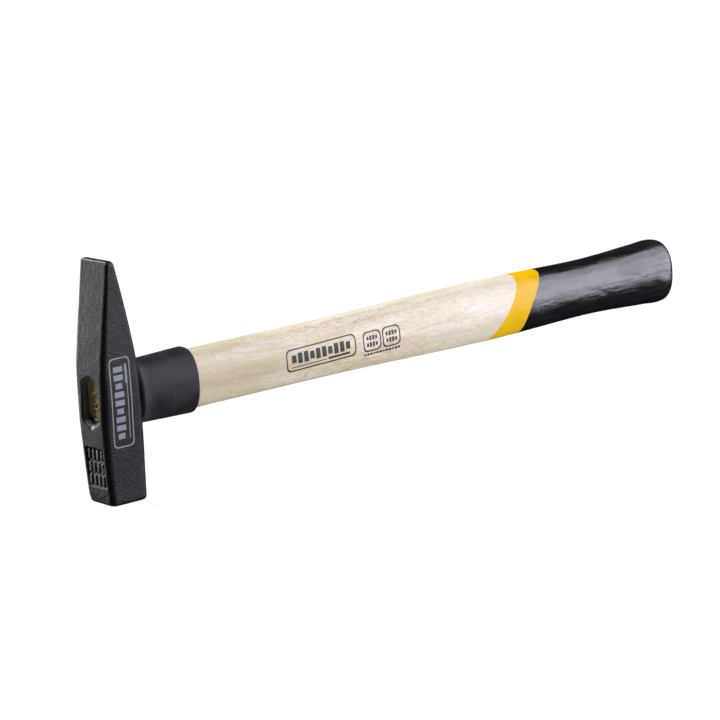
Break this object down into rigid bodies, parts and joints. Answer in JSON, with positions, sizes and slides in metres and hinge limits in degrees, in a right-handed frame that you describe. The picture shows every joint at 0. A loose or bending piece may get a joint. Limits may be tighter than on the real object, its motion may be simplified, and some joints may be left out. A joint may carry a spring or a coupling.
{
  "type": "cross-pein fitter's hammer",
  "caption": "Light cross-pein hammer: black forged head with a wedge pein, oval ash handle with a dipped black grip, and a protective sleeve behind the head.",
  "frame": {"origin": "on the striking face, where the head's two middle planes cross it", "axes": "+Z from the striking face to the pein, +X along the handle to its butt, +Y across the cheeks"},
  "size_m": [0.2621, 0.019, 0.082],
  "materials": {
    "black_paint": "satin black paint with a fine grain over forged steel",
    "ash_wood": "clear lacquered pale ash, yellow paint band and glossy black dipped grip",
    "black_rubber": "soft matte black moulding",
    "wedge_steel": "drawn steel tube, stained by the resin",
    "amber_resin": "hardened amber resin, glossy and uneven"
  },
  "bodies": {
    "root": {"hammer_head": "black_paint", "handle": "ash_wood", "protective_sleeve": "black_rubber", "ring_wedge_upper": "wedge_steel", "ring_wedge_lower": "wedge_steel", "resin_seal": "amber_resin"}
  },
  "joints": []
}
